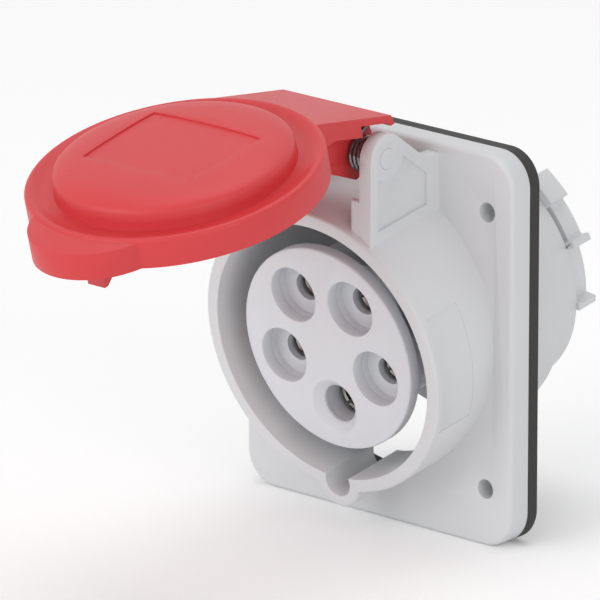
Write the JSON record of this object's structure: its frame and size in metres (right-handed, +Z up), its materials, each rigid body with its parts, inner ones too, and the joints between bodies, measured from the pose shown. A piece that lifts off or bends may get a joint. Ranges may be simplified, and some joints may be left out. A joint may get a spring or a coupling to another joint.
{
  "type": "industrial panel socket",
  "caption": "Panel-mounted round industrial socket on a rectangular flange, leaning ten degrees, with recessed sleeve contacts and a hinged spring lid.",
  "frame": {"origin": "centre of the four fixing holes, on the back face of the flange", "axes": "+X to the right of someone who faces the socket, +Y into the panel, +Z up; the socket's own axis leans ten degrees from -Y towards -Z"},
  "size_m": [0.074, 0.1426, 0.0985],
  "materials": {
    "housing_plastic": "fine satin moulding, light grey",
    "insert_plastic": "fine satin moulding, light grey",
    "lid_plastic": "satin moulding, soft red",
    "rubber": "matt, dark brown-black",
    "brass": "turned",
    "spring_steel": "drawn wire and strip",
    "screw_steel": "zinc plated"
  },
  "bodies": {
    "socket": {"housing": "housing_plastic", "flange_gasket": "rubber", "contact_carrier": "insert_plastic", "contact_tubes": "insert_plastic", "terminal_block": "insert_plastic", "locking_ring": "housing_plastic", "contact_l1": "brass", "contact_l2": "brass", "contact_l3": "brass", "contact_neutral": "brass", "contact_earth": "brass", "clip_l1": "spring_steel", "clip_l2": "spring_steel", "clip_l3": "spring_steel", "clip_neutral": "spring_steel", "clip_earth": "spring_steel", "terminal_screws": "screw_steel", "assembly_screws": "screw_steel", "hinge_pin": "housing_plastic", "lid_spring": "spring_steel"},
    "lid": {"lid": "lid_plastic", "lid_gasket": "rubber"}
  },
  "joints": [
    {"name": "lid_hinge", "type": "hinge", "parent": "socket", "child": "lid", "pos_m": [0, -0.02159, 0.04242], "axis": [1, 0, 0], "range_deg": [-30, 86], "deforming": ["lid_spring"]}
  ]
}
